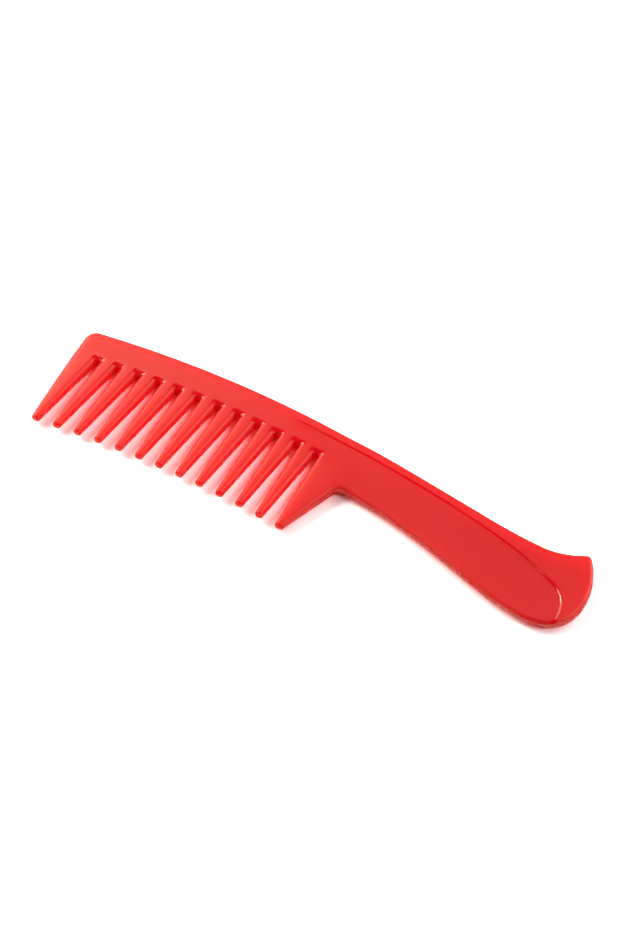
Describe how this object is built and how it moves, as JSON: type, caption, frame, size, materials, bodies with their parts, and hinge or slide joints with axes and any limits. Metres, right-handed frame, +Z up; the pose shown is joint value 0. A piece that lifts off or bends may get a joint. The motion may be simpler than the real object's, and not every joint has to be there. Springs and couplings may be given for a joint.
{
  "type": "wide-tooth hair comb",
  "caption": "Red plastic hair comb moulded whole, with long tapering wide-set teeth, a bowed spine and a flared handle with a shallow panel.",
  "frame": {"origin": "middle of the comb's bounding box in X and Y, on the flat underside in Z", "axes": "+X from the head towards the end of the handle, -Y the way the teeth point, +Z up through the thickness as the comb lies flat"},
  "size_m": [0.2274, 0.0538, 0.0052],
  "materials": {
    "red_plastic": "satin"
  },
  "bodies": {
    "root": {"comb": "red_plastic"}
  },
  "joints": []
}
